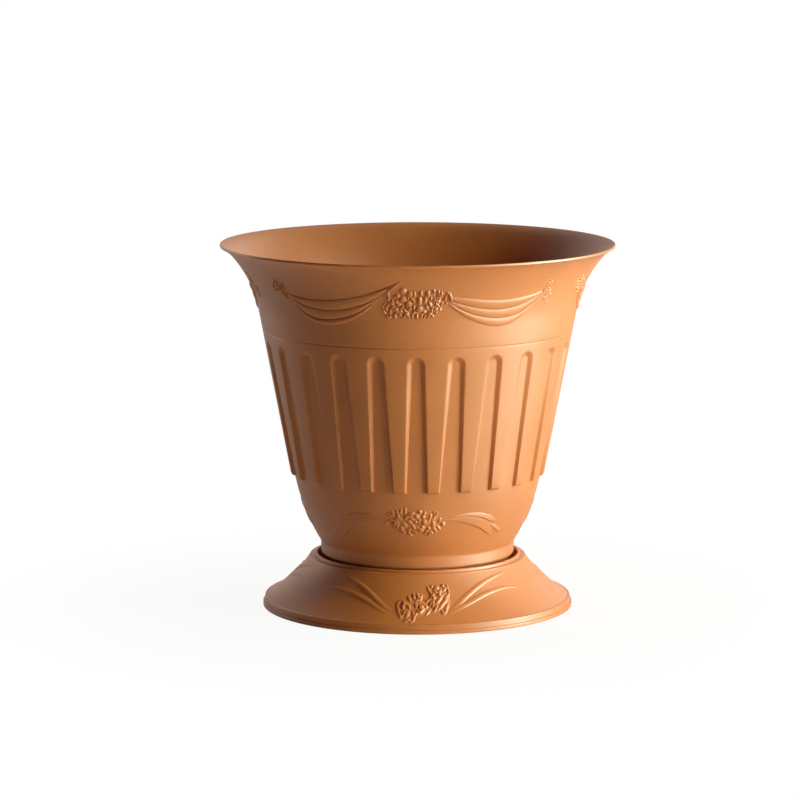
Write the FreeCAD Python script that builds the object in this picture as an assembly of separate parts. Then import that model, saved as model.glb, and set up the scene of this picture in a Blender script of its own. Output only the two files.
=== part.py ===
import FreeCAD, Part
import math
import os

# A fluted cachepot standing in the well of a skirted saucer, two separate mouldings.
# Millimetres, +Z up. The origin is on the floor under the middle of the saucer, and -Y is the front.
# Profiles are drawn as (radius, height) and turned about Z.

# Pot radii, worked inwards from the rim
rim_radius = 200.0
lip_width = 11.5            # border of the flare, which curves out faster
flare_reach = 27.3          # radial growth of the curved flare
body_taper_deg = 10.8       # lean of the conical body from the upright
flute_top_depth = 3.3
flute_end_depth = 3.7       # at the lower ends of the ribs
bowl_reach = 26.9           # radial shrinking of the bowl, from the flutes to the foot
foot_tuck = 7.5             # radial step from the foot's band in to its ring
foot_taper = 0.8            # radial draft of the foot's ring

# Pot heights, from its foot up to the ribs and from its rim down to the ring groove
pot_height = 350.0
foot_ring_height = 24.6
foot_tuck_height = 9.5
foot_band_height = 11.4     # plain band between the bowl and the saucer's bead
bowl_height = 69.5
lip_height = 2.6            # upright end face of the rim
lip_rise = 8.4
flare_height = 56.0
ring_drop = 20.0            # ring groove below the start of the flare
flute_top_drop = 8.5        # flute tops below the ring groove

# Pot walls and details
pot_wall = 2.4
ring_groove_depth = 0.6
ring_groove_width = 1.6
flute_count = 24
rib_top_width = 23.5
rib_end_width = 11.0
flute_top_side = 4.3        # width of a flute's slanted side
flute_end_side = 1.4
floor_thickness = 3.0
floor_recess = 8.0          # floor above the foot's lower edge
drain_hole_count = 6
drain_hole_radius = 5.0
drain_hole_inset = 38.0     # from the foot's inner wall to the holes' centres
notch_count = 6
notch_width = 12.0
notch_height = 4.0

# Saucer radii, worked outwards from the pot's foot
well_clearance = 3.5        # radial gap round the pot's foot
bead_width = 2.8
shoulder_width = 5.2
skirt_reach = 43.6
ledge_width = 2.4
base_edge_width = 2.0

# Saucer heights, from the floor
saucer_height = 53.9        # top of the bead round the well
shoulder_drop = 3.0         # flat shoulder below the bead's top
shoulder_step = 0.5
ledge_height = 9.5
base_edge_height = 3.8
well_floor_height = 16.0

# Saucer walls and details
saucer_wall = 2.5
skirt_top_angle_deg = 34.0  # lean of the skirt from the upright, just under the shoulder
edge_round = 0.8
seat_rib_count = 8
seat_rib_width = 3.0
seat_rib_height = 5.0       # the pot's foot stands on these ribs
seat_rib_length = 38.0

# Levels and radii that follow from the sizes above
body_slope = math.tan(math.radians(body_taper_deg))
crease_height = pot_height - lip_height - lip_rise
flare_start_height = crease_height - flare_height
ring_height = flare_start_height - ring_drop
flute_top_height = ring_height - flute_top_drop
foot_height = foot_ring_height + foot_tuck_height + foot_band_height
rib_end_height = foot_height + bowl_height
crease_radius = rim_radius - lip_width
flare_start_radius = crease_radius - flare_reach
floor_top_height = floor_recess + floor_thickness
seat_height = well_floor_height + seat_rib_height


def body_radius(height):
    """Outer radius of the conical body, which the band and the ribs share."""
    return flare_start_radius - (flare_start_height - height) * body_slope


flute_rise = flute_top_height - rib_end_height
bowl_top_radius = body_radius(rib_end_height) - flute_end_depth
flute_floor_slope = (body_radius(flute_top_height) - flute_top_depth - bowl_top_radius) / flute_rise
foot_radius = bowl_top_radius - bowl_reach
foot_ring_radius = foot_radius - foot_tuck
foot_end_radius = foot_ring_radius - foot_taper
foot_slope = foot_taper / foot_ring_height
well_radius = foot_radius + well_clearance
bead_round = bead_width / 2.0
bead_side_height = saucer_height - bead_round
shoulder_radius = well_radius + bead_width + shoulder_width
skirt_radius = shoulder_radius + skirt_reach
ledge_radius = skirt_radius + ledge_width
base_radius = ledge_radius + base_edge_width


def flute_floor_radius(height):
    """Radius of the conical surface that holds the flutes' floors and runs on into the bowl."""
    return bowl_top_radius + (height - rib_end_height) * flute_floor_slope


def well_wall_radius(height):
    """Inner radius of the well, with the same draft as the foot's ring."""
    return well_radius - (bead_side_height - height) * foot_slope


def point(radius, height):
    """A profile point in the XZ plane."""
    return FreeCAD.Vector(radius, 0.0, height)


def leaning(angle):
    """Unit vector that leans outwards from straight up by an angle in radians."""
    return point(math.sin(angle), math.cos(angle))


def inward(direction):
    """Unit vector at right angles to a profile direction, to its left."""
    return point(-direction.z, direction.x)


class TangentArc:
    """Arc that leaves a start point along a direction and ends at a given point."""

    def __init__(self, start, direction, end):
        self.start = start
        self.end = end
        normal = inward(direction)
        chord = end - start
        signed_radius = chord.dot(chord) / (2.0 * chord.dot(normal))
        self.centre = start + normal * signed_radius
        self.radius = abs(signed_radius)
        self.side = math.copysign(1.0, signed_radius)

    def end_direction(self):
        """Unit vector along the arc where it ends."""
        return inward((self.end - self.centre).normalize()) * self.side

    def offset_radius(self, distance):
        """Radius of the concentric arc that lies a distance to the left."""
        return self.radius - self.side * distance

    def offset_point(self, at, distance):
        """Point of the concentric arc beside a point of this one."""
        ray = (at - self.centre).normalize()
        return self.centre + ray * self.offset_radius(distance)


def line_crossing(start, direction, other_start, other_direction):
    """Where two lines of the profile plane cross."""
    across = inward(other_direction)
    return start + direction * ((other_start - start).dot(across) / direction.dot(across))


def circle_crossing(start, direction, centre, radius, near):
    """Where a line crosses a circle, taking the crossing nearer to a given point."""
    along = direction.dot(centre - start)
    foot_point = start + direction * along
    half_chord = math.sqrt(radius ** 2 - (centre - foot_point).Length ** 2)
    crossings = [foot_point + direction * step for step in (-half_chord, half_chord)]
    return min(crossings, key=lambda crossing: (crossing - near).Length)


def arc_edge(start, end, centre, radius):
    """Shorter arc of a circle between two of its points."""
    middle = ((start + end) * 0.5 - centre).normalize()
    return Part.Arc(start, centre + middle * radius, end).toShape()


def line_edges(*points):
    """Straight edges through the points in turn."""
    return [Part.makeLine(a, b) for a, b in zip(points, points[1:])]


def turned(edges):
    """Solid of revolution of a closed profile."""
    face = Part.Face(Part.Wire(edges))
    solid = face.revolve(FreeCAD.Vector(0, 0, 0), FreeCAD.Vector(0, 0, 1), 360.0)
    return Part.Solid(solid) if solid.ShapeType == "Shell" else solid


def copies_round(shape, count):
    """Copies of a shape at equal steps about Z, the first one in place."""
    copies = []
    for index in range(count):
        copy = shape.copy()
        copy.rotate(FreeCAD.Vector(0, 0, 0), FreeCAD.Vector(0, 0, 1), 360.0 * index / count)
        copies.append(copy)
    return copies


def front_facing(shape):
    """The shape turned from the +X axis to the front, -Y."""
    shape.rotate(FreeCAD.Vector(0, 0, 0), FreeCAD.Vector(0, 0, 1), -90.0)
    return shape


def pot_blank():
    """Turned pot without flutes, holes and notches, standing on height zero."""
    up_body = leaning(math.radians(body_taper_deg))
    up_floor = leaning(math.atan(flute_floor_slope))
    up_foot = leaning(math.atan(foot_slope))

    foot_end = point(foot_end_radius, 0.0)
    ring_top = point(foot_ring_radius, foot_ring_height)
    band_low = point(foot_radius, foot_ring_height + foot_tuck_height)
    foot_top = point(foot_radius, foot_height)
    bowl_top = point(bowl_top_radius, rib_end_height)
    rib_end = point(body_radius(rib_end_height), rib_end_height)
    ring_low = ring_height - ring_groove_width / 2.0
    ring_high = ring_height + ring_groove_width / 2.0
    ring_floor_radius = body_radius(ring_height) - ring_groove_depth
    flare_start = point(flare_start_radius, flare_start_height)
    crease = point(crease_radius, crease_height)
    lip_low = point(rim_radius, pot_height - lip_height)
    lip_top = point(rim_radius, pot_height)

    bowl = TangentArc(bowl_top, up_floor * -1.0, foot_top)
    flare = TangentArc(flare_start, up_body, crease)

    # The inner face keeps the wall behind the flute floors and steps out above them.
    inner_flare_start = flare_start + inward(up_body) * pot_wall
    inner_crease = flare.offset_point(crease, pot_wall)
    lip = TangentArc(crease, flare.end_direction(), lip_low)
    inner_lip = TangentArc(inner_crease, flare.end_direction(), lip_top)
    inner_bowl_top = bowl_top + inward(up_floor) * pot_wall
    inner_ring = inner_bowl_top + up_floor * ((ring_height - inner_bowl_top.z) / up_floor.z)
    foot_inner_end = foot_end + inward(up_foot) * pot_wall
    up_band = leaning(0.0)
    up_tuck = (band_low - ring_top).normalize()
    inner_tuck = ring_top + inward(up_tuck) * pot_wall
    inner_band = band_low + inward(up_band) * pot_wall
    inner_ring_top = line_crossing(foot_inner_end, up_foot, inner_tuck, up_tuck)
    inner_band_low = line_crossing(inner_band, up_band, inner_tuck, up_tuck)
    inner_foot_top = circle_crossing(
        inner_band, up_band, bowl.centre, bowl.offset_radius(-pot_wall),
        bowl.offset_point(foot_top, -pot_wall))

    def foot_inner(height):
        return point(foot_inner_end.x + (height - foot_inner_end.z) * foot_slope, height)

    edges = line_edges(foot_end, ring_top, band_low, foot_top)
    edges.append(arc_edge(foot_top, bowl_top, bowl.centre, bowl.radius))
    edges += line_edges(
        bowl_top, rib_end,
        point(body_radius(ring_low), ring_low), point(ring_floor_radius, ring_height),
        point(body_radius(ring_high), ring_high), flare_start)
    edges.append(arc_edge(flare_start, crease, flare.centre, flare.radius))
    edges.append(arc_edge(crease, lip_low, lip.centre, lip.radius))
    edges += line_edges(lip_low, lip_top)
    edges.append(arc_edge(lip_top, inner_crease, inner_lip.centre, inner_lip.radius))
    edges.append(arc_edge(
        inner_crease, inner_flare_start, flare.centre, flare.offset_radius(pot_wall)))
    edges += line_edges(inner_flare_start, inner_ring, inner_bowl_top)
    edges.append(arc_edge(
        inner_bowl_top, inner_foot_top, bowl.centre, bowl.offset_radius(-pot_wall)))
    edges += line_edges(
        inner_foot_top, inner_band_low, inner_ring_top,
        foot_inner(floor_top_height), point(0.0, floor_top_height),
        point(0.0, floor_recess), foot_inner(floor_recess), foot_inner(0.0), foot_end)
    return turned(edges)


def flute_outline(share):
    """Closed wire of a flute with a round top, at a share of the way from the ribs to its floor."""
    lean = math.radians(body_taper_deg)
    along = leaning(lean)
    outward = inward(along) * -1.0
    across = FreeCAD.Vector(0, 1, 0)
    rib_end = point(body_radius(rib_end_height), rib_end_height)
    slant_length = flute_rise / math.cos(lean)
    deepening = (flute_end_depth - flute_top_depth) / slant_length

    def pitch(height):
        return 2.0 * math.pi * body_radius(height) / flute_count

    rib_edge = (pitch(flute_top_height) - rib_top_width) / 2.0
    top_half = rib_edge - share * flute_top_side
    end_half = (pitch(rib_end_height) - rib_end_width) / 2.0 - share * flute_end_side
    arch_start = slant_length - rib_edge
    overrun = flute_end_depth

    def at(side, distance):
        sink = share * (flute_end_depth - distance * deepening)
        return rib_end - outward * sink + along * distance + across * side

    corners = [at(-top_half, arch_start), at(-end_half, -overrun), at(end_half, -overrun),
               at(top_half, arch_start)]
    edges = line_edges(*corners)
    crown = at(0.0, arch_start + top_half)
    edges.append(Part.Arc(corners[-1], crown, corners[0]).toShape())
    return Part.Wire(edges)


def flute_cutter():
    """Cutter for the flute at +X: slanted sides, and a floor flush with the bowl."""
    past_floor = 1.25
    past_ribs = -1.0
    blank = Part.makeLoft([flute_outline(past_floor), flute_outline(past_ribs)], True, True)
    low = rib_end_height - flute_end_depth
    high = ring_height
    floor_low = point(flute_floor_radius(low), low)
    floor_high = point(flute_floor_radius(high), high)
    away = point(2.0 * flute_end_depth, 0.0)
    ring = turned(line_edges(floor_low, floor_high, floor_high + away, floor_low + away, floor_low))
    return blank.common(ring)


def drain_hole():
    """Cutter for one drain hole on the +X axis."""
    circle_radius = foot_end_radius - pot_wall - drain_hole_inset
    return Part.makeCylinder(drain_hole_radius, floor_top_height, FreeCAD.Vector(circle_radius, 0, 0))


def foot_notch():
    """Cutter for one drain notch in the foot's lower edge, on the +X axis."""
    overrun = pot_wall
    corner = FreeCAD.Vector(foot_end_radius - pot_wall - overrun, -notch_width / 2.0, 0.0)
    return Part.makeBox(pot_wall + 2.0 * overrun, notch_width, notch_height, corner)


def make_pot():
    """The pot, standing on the saucer's seat ribs."""
    cutters = copies_round(front_facing(flute_cutter()), flute_count)
    cutters += copies_round(front_facing(drain_hole()), drain_hole_count)
    cutters += copies_round(front_facing(foot_notch()), notch_count)
    pot = pot_blank().cut(cutters)
    pot.translate(FreeCAD.Vector(0, 0, seat_height))
    return pot


def rounded_corner(radius, height):
    """Quarter round from a flat top to an upright side."""
    centre = point(radius - edge_round, height - edge_round)
    start = centre + point(0.0, edge_round)
    end = centre + point(edge_round, 0.0)
    return [arc_edge(start, end, centre, edge_round)]


def saucer_shell():
    """Turned saucer: well, bead, flat shoulder, concave skirt and stepped base edge."""
    bead_radius = well_radius + bead_width
    shoulder_height = saucer_height - shoulder_drop
    skirt_top_height = shoulder_height - shoulder_step

    well_floor_radius = well_wall_radius(well_floor_height)
    well_under_height = well_floor_height - saucer_wall
    skirt_top = point(shoulder_radius, skirt_top_height)
    skirt_end = point(skirt_radius, ledge_height)
    skirt_down = leaning(math.pi - math.radians(skirt_top_angle_deg))
    skirt = TangentArc(skirt_top, skirt_down, skirt_end)

    # Underside of the skirt, one wall inside it
    under_radius = skirt.offset_radius(-saucer_wall)
    base_inner_radius = ledge_radius - saucer_wall
    under_top = skirt.offset_point(skirt_top, -saucer_wall)
    under_end = circle_crossing(
        point(base_inner_radius, 0.0), FreeCAD.Vector(0, 0, 1), skirt.centre, under_radius,
        skirt.offset_point(skirt_end, -saucer_wall))
    well_outer_top = point(well_radius + saucer_wall, under_top.z)
    well_outer_end = point(well_floor_radius + saucer_wall, well_under_height)

    edges = line_edges(
        point(0.0, well_floor_height), point(well_floor_radius, well_floor_height),
        point(well_radius, bead_side_height))
    edges.append(Part.Arc(
        point(well_radius, bead_side_height), point(well_radius + bead_round, saucer_height),
        point(bead_radius, bead_side_height)).toShape())
    edges += line_edges(
        point(bead_radius, bead_side_height), point(bead_radius, shoulder_height),
        point(shoulder_radius, shoulder_height), skirt_top)
    edges.append(arc_edge(skirt_top, skirt_end, skirt.centre, skirt.radius))
    edges += line_edges(
        skirt_end, point(ledge_radius - edge_round, ledge_height))
    edges += rounded_corner(ledge_radius, ledge_height)
    edges += line_edges(
        point(ledge_radius, ledge_height - edge_round), point(ledge_radius, base_edge_height),
        point(base_radius - edge_round, base_edge_height))
    edges += rounded_corner(base_radius, base_edge_height)
    edges += line_edges(
        point(base_radius, base_edge_height - edge_round), point(base_radius, 0.0),
        point(base_inner_radius, 0.0), under_end)
    edges.append(arc_edge(under_end, under_top, skirt.centre, under_radius))
    edges += line_edges(
        under_top, well_outer_top, well_outer_end, point(0.0, well_under_height),
        point(0.0, well_floor_height))
    return turned(edges)


def seat_rib():
    """One rib on the well floor along +X, running into the well's wall."""
    outer = well_wall_radius(well_floor_height) + saucer_wall / 2.0
    corner = FreeCAD.Vector(
        outer - seat_rib_length, -seat_rib_width / 2.0, well_floor_height - saucer_wall / 2.0)
    return Part.makeBox(
        seat_rib_length, seat_rib_width, seat_rib_height + saucer_wall / 2.0, corner)


def make_saucer():
    """The saucer with its seat ribs."""
    return saucer_shell().fuse(copies_round(seat_rib(), seat_rib_count)).removeSplitter()


os.makedirs("parts", exist_ok=True)
for node, shape in (("pot", make_pot()), ("saucer", make_saucer())):
    print(node, "solids", len(shape.Solids), "valid", shape.isValid(), "volume", round(shape.Volume))
    shape.exportStep("parts/" + node + ".step")
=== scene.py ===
from math import acos, atan, atan2, copysign, cos, degrees, pi, radians, sin, sqrt, tan, tau

import bmesh
import bpy
import numpy as np
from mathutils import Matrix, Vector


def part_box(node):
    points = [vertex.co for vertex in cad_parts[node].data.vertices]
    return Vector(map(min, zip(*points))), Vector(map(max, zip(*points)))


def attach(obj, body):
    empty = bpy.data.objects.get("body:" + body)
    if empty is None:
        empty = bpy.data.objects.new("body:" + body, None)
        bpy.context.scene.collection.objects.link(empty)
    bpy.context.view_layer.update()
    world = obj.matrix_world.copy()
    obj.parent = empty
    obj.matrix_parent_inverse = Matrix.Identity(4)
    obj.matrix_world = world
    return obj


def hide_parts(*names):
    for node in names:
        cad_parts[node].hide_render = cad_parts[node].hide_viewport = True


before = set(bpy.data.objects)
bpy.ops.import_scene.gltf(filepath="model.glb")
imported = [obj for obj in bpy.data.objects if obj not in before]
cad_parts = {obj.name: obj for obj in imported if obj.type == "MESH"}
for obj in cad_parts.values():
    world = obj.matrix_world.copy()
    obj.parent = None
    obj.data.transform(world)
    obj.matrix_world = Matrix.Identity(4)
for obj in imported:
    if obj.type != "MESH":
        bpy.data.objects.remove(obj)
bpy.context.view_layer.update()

# A terracotta coloured plastic cachepot with festoons and flutes, standing in its saucer.
# Sizes are in mm and become metres when a mesh is made. Azimuth 0 is the front, -Y, and grows towards +X.
MM = 0.001
seat_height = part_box("pot")[0][2] / MM

# Pot
rim_radius = 200.0
lip_width = 11.5
flare_reach = 27.3
body_taper = radians(10.8)
flute_top_depth = 3.3
flute_end_depth = 3.7
bowl_reach = 26.9
foot_tuck = 7.5
foot_taper = 0.8
pot_height = 350.0
foot_ring_height = 24.6
foot_tuck_height = 9.5
foot_band_height = 11.4
bowl_height = 69.5
lip_height = 2.6
lip_rise = 8.4
flare_height = 56.0
ring_drop = 20.0
flute_top_drop = 8.5
pot_wall = 2.4
ring_groove_depth = 0.6
ring_groove_width = 1.6
flute_count = 24
rib_top_width = 23.5
rib_end_width = 11.0
flute_top_side = 4.3
flute_end_side = 1.4
floor_thickness = 3.0
floor_recess = 8.0
drain_hole_count = 6
drain_hole_radius = 5.0
drain_hole_inset = 38.0
notch_count = 6
notch_width = 12.0
notch_height = 4.0
lip_round = 0.9
foot_round = 7.0
rib_end_round = 1.6         # height over which a rib's lower end rounds off
band_round = 3.0
inner_foot_round = 5.0
inner_ring_round = 6.0
floor_round = 2.0
floor_margin = 6.0          # flat border of the floor beside its rounded corner
groove_edge_round = 0.5
groove_floor_round = 0.3
foot_edge_ease = 0.5
notch_gap = 0.05            # keeps the notches' edge under the row of points above it

# Saucer
well_clearance = 3.5
bead_width = 2.8
shoulder_width = 5.2
skirt_reach = 43.6
ledge_width = 2.4
base_edge_width = 2.0
saucer_height = 53.9
shoulder_drop = 3.0
shoulder_step = 0.5
ledge_height = 9.5
base_edge_height = 3.8
well_floor_height = 16.0
saucer_wall = 2.5
skirt_top_angle = radians(34.0)
edge_round = 0.8
seat_rib_count = 8
seat_rib_width = 3.0
seat_rib_length = 38.0
seat_rib_ease = 0.6
inner_corner_round = 0.4
shoulder_round = 0.5
base_round = 0.3
well_round = 2.0
well_under_round = 1.5
lip_under_round = 0.8

# Levels and radii that follow
body_slope = tan(body_taper)
crease_height = pot_height - lip_height - lip_rise
flare_start_height = crease_height - flare_height
ring_height = flare_start_height - ring_drop
flute_top_height = ring_height - flute_top_drop
foot_height = foot_ring_height + foot_tuck_height + foot_band_height
rib_end_height = foot_height + bowl_height
band_low_height = foot_ring_height + foot_tuck_height
crease_radius = rim_radius - lip_width
flare_start_radius = crease_radius - flare_reach
rib_end_radius = flare_start_radius - (flare_start_height - rib_end_height) * body_slope
flute_top_radius = flare_start_radius - (flare_start_height - flute_top_height) * body_slope
bowl_top_radius = rib_end_radius - flute_end_depth
floor_slope = (flute_top_radius - flute_top_depth - bowl_top_radius) / (flute_top_height - rib_end_height)
foot_radius = bowl_top_radius - bowl_reach
foot_ring_radius = foot_radius - foot_tuck
foot_end_radius = foot_ring_radius - foot_taper
foot_slope = foot_taper / foot_ring_height
well_radius = foot_radius + well_clearance
bead_radius = well_radius + bead_width
shoulder_radius = bead_radius + shoulder_width
skirt_radius = shoulder_radius + skirt_reach
ledge_radius = skirt_radius + ledge_width
base_radius = ledge_radius + base_edge_width

# Mesh density
columns_per_flute = 12
column_count = flute_count * columns_per_flute
corner_steps = 4
corner_share = 0.49         # most of a neighbouring edge that a rounded corner may take
foot_corner_steps = 6
bowl_steps = 22
inner_bowl_steps = 20
flare_steps = 24
inner_flare_steps = 20
lip_steps = 8
band_row_rises = (5.0, 12.0)
well_row_drop = 12.0
bead_steps = 10
skirt_steps = 30
skirt_under_steps = 16
hole_segments = 28
track_steps = 60
flare_track_steps = 40
band_track_rows = 20
band_track_rise = 3.0       # start of the festoon's ground above the ring line
merge_distance = 0.02
sliver_length = 0.005
shell_sharp_angle = 38.0

# Finish
pot_colour = (199, 121, 60)
saucer_colour = (199, 119, 56)
satin_roughness = 0.48
roughness_spread = 0.03
specular_level = 0.5
noise_range = (0.3, 0.7)    # where most of a noise's values lie
cloud_noise = (14.0, 3.0, 0.5)  # scale, detail and roughness
fleck_noise = (420.0, 2.0, 0.5)
grain_noise = (1500.0, 3.0, 0.6)
cloud_spread = 0.07
fleck_spread = 0.025
grain_strength = 0.22
grain_height = 0.05


def body_radius(height):
    """Outer radius of the conical body, which the band and the ribs share."""
    return flare_start_radius - (flare_start_height - height) * body_slope


def flute_floor_radius(height):
    """Radius of the conical surface that holds the flutes' floors."""
    return bowl_top_radius + (height - rib_end_height) * floor_slope


def unit(vector):
    return vector / np.linalg.norm(vector)


def left_of(direction):
    return np.array([-direction[1], direction[0]])


class TangentArc:
    """Arc in the profile plane that leaves a start along a direction and ends at a given point."""

    def __init__(self, start, direction, end):
        self.start = np.array(start, float)
        self.end = np.array(end, float)
        normal = left_of(direction)
        chord = self.end - self.start
        signed = chord.dot(chord) / (2.0 * chord.dot(normal))
        self.centre = self.start + normal * signed
        self.radius = abs(signed)
        self.side = copysign(1.0, signed)

    def end_direction(self):
        """Unit vector along the arc where it ends."""
        return left_of(unit(self.end - self.centre)) * self.side

    def points(self, steps, offset=0.0, start=None, end=None):
        """Points of the arc or of one beside it, a distance to its left."""
        ends = [self.start if start is None else start, self.end if end is None else end]
        angles = [atan2(*(np.array(p, float) - self.centre)[::-1]) for p in ends]
        sweep = (angles[1] - angles[0] + pi) % tau - pi
        angle = angles[0] + sweep * np.linspace(0.0, 1.0, steps + 1)
        radius = self.radius - self.side * offset
        return [tuple(self.centre + radius * np.array([cos(a), sin(a)])) for a in angle]

    def radius_at(self, height):
        """Profile radius of a bulging arc at a height."""
        return self.centre[0] + np.sqrt(self.radius ** 2 - (height - self.centre[1]) ** 2)

    def line_crossing(self, point, direction, offset, near):
        """Where a line meets the arc's circle, a distance to its left, near a given point."""
        point = np.array(point, float)
        foot = point + direction * direction.dot(self.centre - point)
        radius = self.radius - self.side * offset
        half = sqrt(radius ** 2 - ((self.centre - foot) ** 2).sum())
        return min((foot - direction * half, foot + direction * half),
                   key=lambda found: np.linalg.norm(found - np.array(near)))


def rounded(profile, steps=corner_steps):
    """A profile whose corners (radius, height, round) become small arcs."""
    points = []
    for index, corner in enumerate(profile):
        here = np.array(corner[:2], float)
        if len(corner) == 2 or corner[2] == 0.0:
            points.append(tuple(here))
            continue
        before = np.array(profile[index - 1][:2], float) - here
        after = np.array(profile[index + 1][:2], float) - here
        ends = [unit(before), unit(after)]
        half_turn = acos(np.clip(ends[0].dot(ends[1]), -1.0, 1.0)) / 2.0
        room = corner_share * min(np.linalg.norm(before), np.linalg.norm(after))
        cut = min(corner[2] / tan(half_turn), room)
        for step in range(steps + 1):
            share = step / steps
            near = here + ends[0] * cut * (1.0 - share)
            far = here + ends[1] * cut * share
            points.append(tuple(near + (far - near) * share))
    return points


def on_round(azimuth, radius, height):
    """Metre positions of points given by azimuth, radius and height."""
    azimuth, radius, height = np.broadcast_arrays(azimuth, radius, height)
    return np.stack([radius * np.sin(azimuth), -radius * np.cos(azimuth), height], axis=-1) * MM


def on_pot(azimuth, radius, height):
    """The same for the pot, whose heights count from its foot."""
    return on_round(azimuth, radius, height + seat_height)


def lifted(profile):
    """A profile of the pot, moved up to where the pot stands."""
    return [(radius, height + seat_height) for radius, height in profile]


class Skin:
    """Collects patches of points and joins them into one mesh."""

    def __init__(self):
        self.points = []
        self.faces = []

    def add(self, points):
        """Takes in points and tells the number of the first."""
        first = len(self.points)
        self.points += np.asarray(points, float).reshape(-1, 3).tolist()
        return first

    def patch(self, rows):
        """Quads between rows of points that all have the same length."""
        rows = np.asarray(rows, float)
        length = rows.shape[1]
        first = self.add(rows)
        for row in range(rows.shape[0] - 1):
            low = first + row * length
            for column in range(length - 1):
                a = low + column
                self.faces.append((a, a + 1, a + 1 + length, a + length))

    def fan(self, centre, ring):
        """Triangles from a centre to a row of points."""
        middle = self.add([centre])
        first = self.add(ring)
        for step in range(len(ring) - 1):
            self.faces.append((middle, first + step, first + step + 1))

    def turned(self, profile, azimuths):
        """Rows of a turned surface."""
        self.patch([on_round(azimuths, radius, height) for radius, height in profile])

    def mesh(self, name, fills=()):
        """The joined mesh; each fill is a list of closed rings of points that bound a flat face."""
        bm = bmesh.new()
        data = bpy.data.meshes.new(name)
        data.from_pydata(self.points, [], self.faces)
        bm.from_mesh(data)
        for rings in fills:
            edges = []
            for ring in rings:
                verts = [bm.verts.new(tuple(point)) for point in ring]
                edges += [bm.edges.new((verts[i - 1], verts[i])) for i in range(len(verts))]
            bmesh.ops.triangle_fill(bm, use_beauty=True, use_dissolve=False, edges=edges)
        bmesh.ops.remove_doubles(bm, verts=bm.verts, dist=merge_distance * MM)
        bmesh.ops.dissolve_degenerate(bm, edges=bm.edges, dist=sliver_length * MM)
        bmesh.ops.recalc_face_normals(bm, faces=bm.faces)
        bm.to_mesh(data)
        bm.free()
        return data


def placed(name, data):
    """A new object in the scene."""
    made = bpy.data.objects.new(name, data)
    bpy.context.scene.collection.objects.link(made)
    return made


def piece(name, data, body, sharp_angle=shell_sharp_angle):
    """A visible object that rides on a body and takes the finish of that body."""
    made = placed(name, data)
    data.shade_smooth()
    data.set_sharp_from_angle(angle=radians(sharp_angle))
    data.materials.append(finishes[body])
    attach(made, body)
    return made


def srgb(red, green, blue):
    """Linear colour of an sRGB colour given in 0 to 255."""
    def linear(value):
        value /= 255.0
        return value / 12.92 if value <= 0.04045 else ((value + 0.055) / 1.055) ** 2.4
    return (linear(red), linear(green), linear(blue), 1.0)


class Nodes:
    """Adds nodes to the node tree of a material or of the world."""

    def __init__(self, owner):
        owner.use_nodes = True
        self.tree = owner.node_tree

    def join(self, node, inputs):
        """Sets a node's inputs to values, or links them to other nodes' outputs."""
        for socket, value in inputs.items():
            if isinstance(value, bpy.types.NodeSocket):
                self.tree.links.new(value, node.inputs[socket])
            else:
                node.inputs[socket].default_value = value

    def add(self, kind, output, inputs, **settings):
        """The named output of a new node."""
        node = self.tree.nodes.new("ShaderNode" + kind)
        for setting, value in settings.items():
            setattr(node, setting, value)
        self.join(node, inputs)
        return node.outputs[output]

    def any_ray(self, *kinds):
        """One for light paths of the given kinds, nought for others."""
        found = [self.add("LightPath", "Is " + kind + " Ray", {}) for kind in kinds]
        either = found[0]
        for other in found[1:]:
            either = self.add("Math", "Value", {0: either, 1: other}, operation="MAXIMUM")
        return either


def plastic(name, colour):
    """Satin moulded plastic in terracotta: faint clouding, flecks and fine grain."""
    material = bpy.data.materials.new(name)
    nodes = Nodes(material)
    place = nodes.add("TexCoord", "Object", {})

    def noise(scale, detail, rough):
        return nodes.add("TexNoise", "Fac", {
            "Vector": place, "Scale": scale, "Detail": detail, "Roughness": rough})

    def mapped(value, low, high):
        return nodes.add("MapRange", "Result", {
            "Value": value, "From Min": noise_range[0], "From Max": noise_range[1],
            "To Min": low, "To Max": high})

    def tint(share):
        return tuple(min(1.0, value * share) for value in colour[:3]) + (1.0,)

    clouds = noise(*cloud_noise)
    shade = nodes.add("Mix", "Result", {
        "Factor": mapped(clouds, 0.0, 1.0), "A": tint(1.0 - cloud_spread), "B": tint(1.0 + cloud_spread)},
        data_type="RGBA")
    flecks = mapped(noise(*fleck_noise), 1.0 - fleck_spread, 1.0 + fleck_spread)
    nodes.join(nodes.tree.nodes["Principled BSDF"], {
        "Base Color": nodes.add("HueSaturation", "Color", {"Color": shade, "Value": flecks}),
        "Roughness": mapped(clouds, satin_roughness - roughness_spread, satin_roughness + roughness_spread),
        "Normal": nodes.add("Bump", "Normal", {
            "Strength": grain_strength, "Distance": grain_height * MM, "Height": noise(*grain_noise)}),
        "Specular IOR Level": specular_level})
    return material


finishes = {"pot": plastic("pot_plastic", srgb(*pot_colour)),
            "saucer": plastic("saucer_plastic", srgb(*saucer_colour))}


# Profiles of the pot, height zero at its foot
up_body = np.array([sin(body_taper), cos(body_taper)])
floor_lean = atan(floor_slope)
up_floor = np.array([sin(floor_lean), cos(floor_lean)])
up_foot = unit(np.array([foot_slope, 1.0]))
flare_start = np.array([flare_start_radius, flare_start_height])
crease = np.array([crease_radius, crease_height])
lip_low = np.array([rim_radius, pot_height - lip_height])
lip_top = np.array([rim_radius, pot_height])
bowl_top = np.array([bowl_top_radius, rib_end_height])
foot_top = np.array([foot_radius, foot_height])
foot_end = np.array([foot_end_radius, 0.0])
bowl = TangentArc(bowl_top, -up_floor, foot_top)
flare = TangentArc(flare_start, up_body, crease)


def lines_crossing(start, direction, other_start, other_direction):
    """Where two lines of the profile plane cross."""
    across = left_of(other_direction)
    return start + direction * ((other_start - start).dot(across) / direction.dot(across))


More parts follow.
